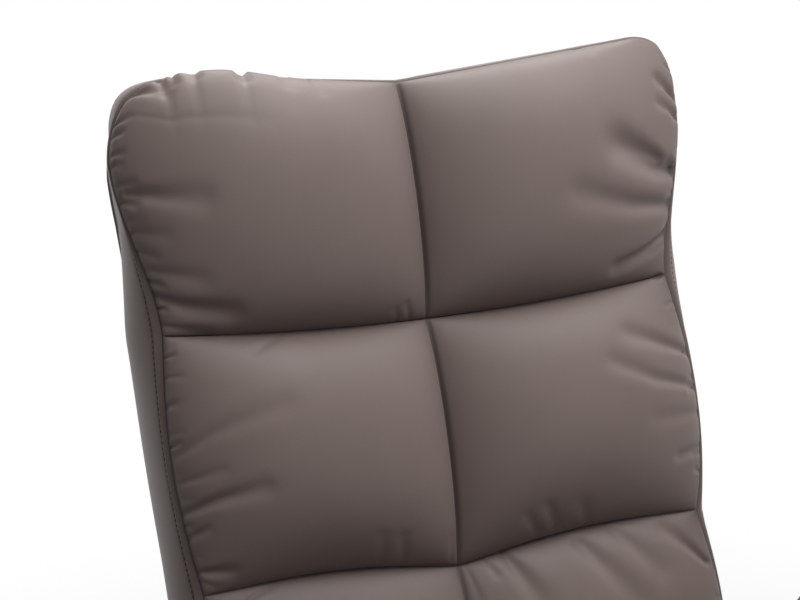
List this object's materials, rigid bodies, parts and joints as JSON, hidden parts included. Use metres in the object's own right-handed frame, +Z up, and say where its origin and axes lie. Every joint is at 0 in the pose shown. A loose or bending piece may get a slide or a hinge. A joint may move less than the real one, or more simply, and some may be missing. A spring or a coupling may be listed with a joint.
{
  "type": "swivel recliner",
  "caption": "Swivel recliner with a tufted taupe back and seat, loop arms and a round chrome stand; reclining the back swings the footrest out.",
  "frame": {"origin": "on the floor, under the swivel axis", "axes": "+Z up along the swivel axis, -Y the way the sitter faces, +X the sitter's left"},
  "size_m": [0.7485, 0.9072, 1.0446],
  "materials": {
    "taupe_faux_leather": "PU-coated upholstery cloth, satin, fine grain",
    "chromed_steel": "polished",
    "black_coated_steel": "black powder coat",
    "zinc_plated_steel": "zinc plated",
    "spring_steel": "oiled wire",
    "pine_wood": "planed, unfinished",
    "black_rubber": "matte",
    "black_plastic": "fine matte"
  },
  "bodies": {
    "stand": {"floor_pad": "black_rubber", "base_plate": "chromed_steel", "base_column": "chromed_steel", "column_trim": "chromed_steel", "lower_swivel_plate": "black_coated_steel", "swivel_bearing": "zinc_plated_steel", "swivel_bolt": "zinc_plated_steel", "swivel_nut": "zinc_plated_steel"},
    "seat": {"upper_swivel_plate": "black_coated_steel", "cross_tube_front": "black_coated_steel", "cross_tube_rear": "black_coated_steel", "seat_rail_left": "pine_wood", "seat_rail_right": "pine_wood", "seat_rail_front": "pine_wood", "seat_rail_rear": "pine_wood", "seat_spring_1": "spring_steel", "seat_spring_2": "spring_steel", "seat_spring_3": "spring_steel", "seat_spring_4": "spring_steel", "seat_cushion": "taupe_faux_leather", "arm_bar_left": "black_coated_steel", "arm_bar_right": "black_coated_steel", "arm_pad_left": "taupe_faux_leather", "arm_pad_right": "taupe_faux_leather", "recline_bracket_left": "black_coated_steel", "recline_bracket_right": "black_coated_steel", "footrest_bracket_left": "black_coated_steel", "footrest_bracket_right": "black_coated_steel", "gas_cylinder": "black_coated_steel", "gas_anchor": "black_coated_steel", "lever_bracket": "black_coated_steel"},
    "back": {"back_cushion": "taupe_faux_leather", "back_shell": "taupe_faux_leather", "back_frame": "black_coated_steel", "back_spring_1": "spring_steel", "back_spring_2": "spring_steel", "back_spring_3": "spring_steel", "back_hinge_plate_left": "black_coated_steel", "back_hinge_plate_right": "black_coated_steel", "hinge_pin_left": "zinc_plated_steel", "hinge_pin_right": "zinc_plated_steel", "crank_bar": "zinc_plated_steel", "crank_pin_left": "zinc_plated_steel", "crank_pin_right": "zinc_plated_steel"},
    "footrest": {"footrest_arm_left": "black_coated_steel", "footrest_arm_right": "black_coated_steel", "footrest_board": "pine_wood", "footrest_pad": "taupe_faux_leather", "footrest_pin_left": "zinc_plated_steel", "footrest_pin_right": "zinc_plated_steel", "footrest_link_pin_left": "zinc_plated_steel", "footrest_link_pin_right": "zinc_plated_steel"},
    "link_left": {"link_left": "zinc_plated_steel"},
    "link_right": {"link_right": "zinc_plated_steel"},
    "gas_piston": {"gas_rod": "zinc_plated_steel"},
    "lever": {"lever_rod": "zinc_plated_steel", "lever_grip": "black_plastic"}
  },
  "joints": [
    {"name": "swivel", "type": "hinge", "parent": "stand", "child": "seat", "pos_m": [0, 0, 0.2452], "axis": [0, 0, 1], "continuous": true},
    {"name": "recline", "type": "hinge", "parent": "seat", "child": "back", "pos_m": [0, 0.225, 0.3711], "axis": [-1, 0, 0], "range_deg": [0, 40]},
    {"name": "footrest_swing", "type": "hinge", "parent": "seat", "child": "footrest", "pos_m": [0, -0.31, 0.30337], "axis": [-1, 0, 0], "range_deg": [0, 76]},
    {"name": "link_left_pivot", "type": "hinge", "parent": "back", "child": "link_left", "pos_m": [0.2266, 0.27115, 0.2443], "axis": [-1, 0, 0], "range_deg": [-40, 0]},
    {"name": "link_right_pivot", "type": "hinge", "parent": "back", "child": "link_right", "pos_m": [-0.2266, 0.27115, 0.2443], "axis": [-1, 0, 0], "range_deg": [-40, 0]},
    {"name": "gas_stroke", "type": "slide", "parent": "seat", "child": "gas_piston", "axis": [0, -1, 0], "range_m": [0, 0.05746]},
    {"name": "lever_pull", "type": "hinge", "parent": "seat", "child": "lever", "pos_m": [-0.2525, -0.11, 0.2681], "axis": [0, 1, 0], "range_deg": [0, 8], "stiffness_Nm_per_rad": 6, "springref_deg": -5.73}
  ],
  "couplings": [
    {"joint": "footrest_swing", "follows": "recline", "ratio": 1.9},
    {"joint": "link_left_pivot", "follows": "recline", "ratio": -1},
    {"joint": "link_right_pivot", "follows": "recline", "ratio": -1},
    {"joint": "gas_stroke", "follows": "recline", "m_per_rad": 0.082305}
  ]
}
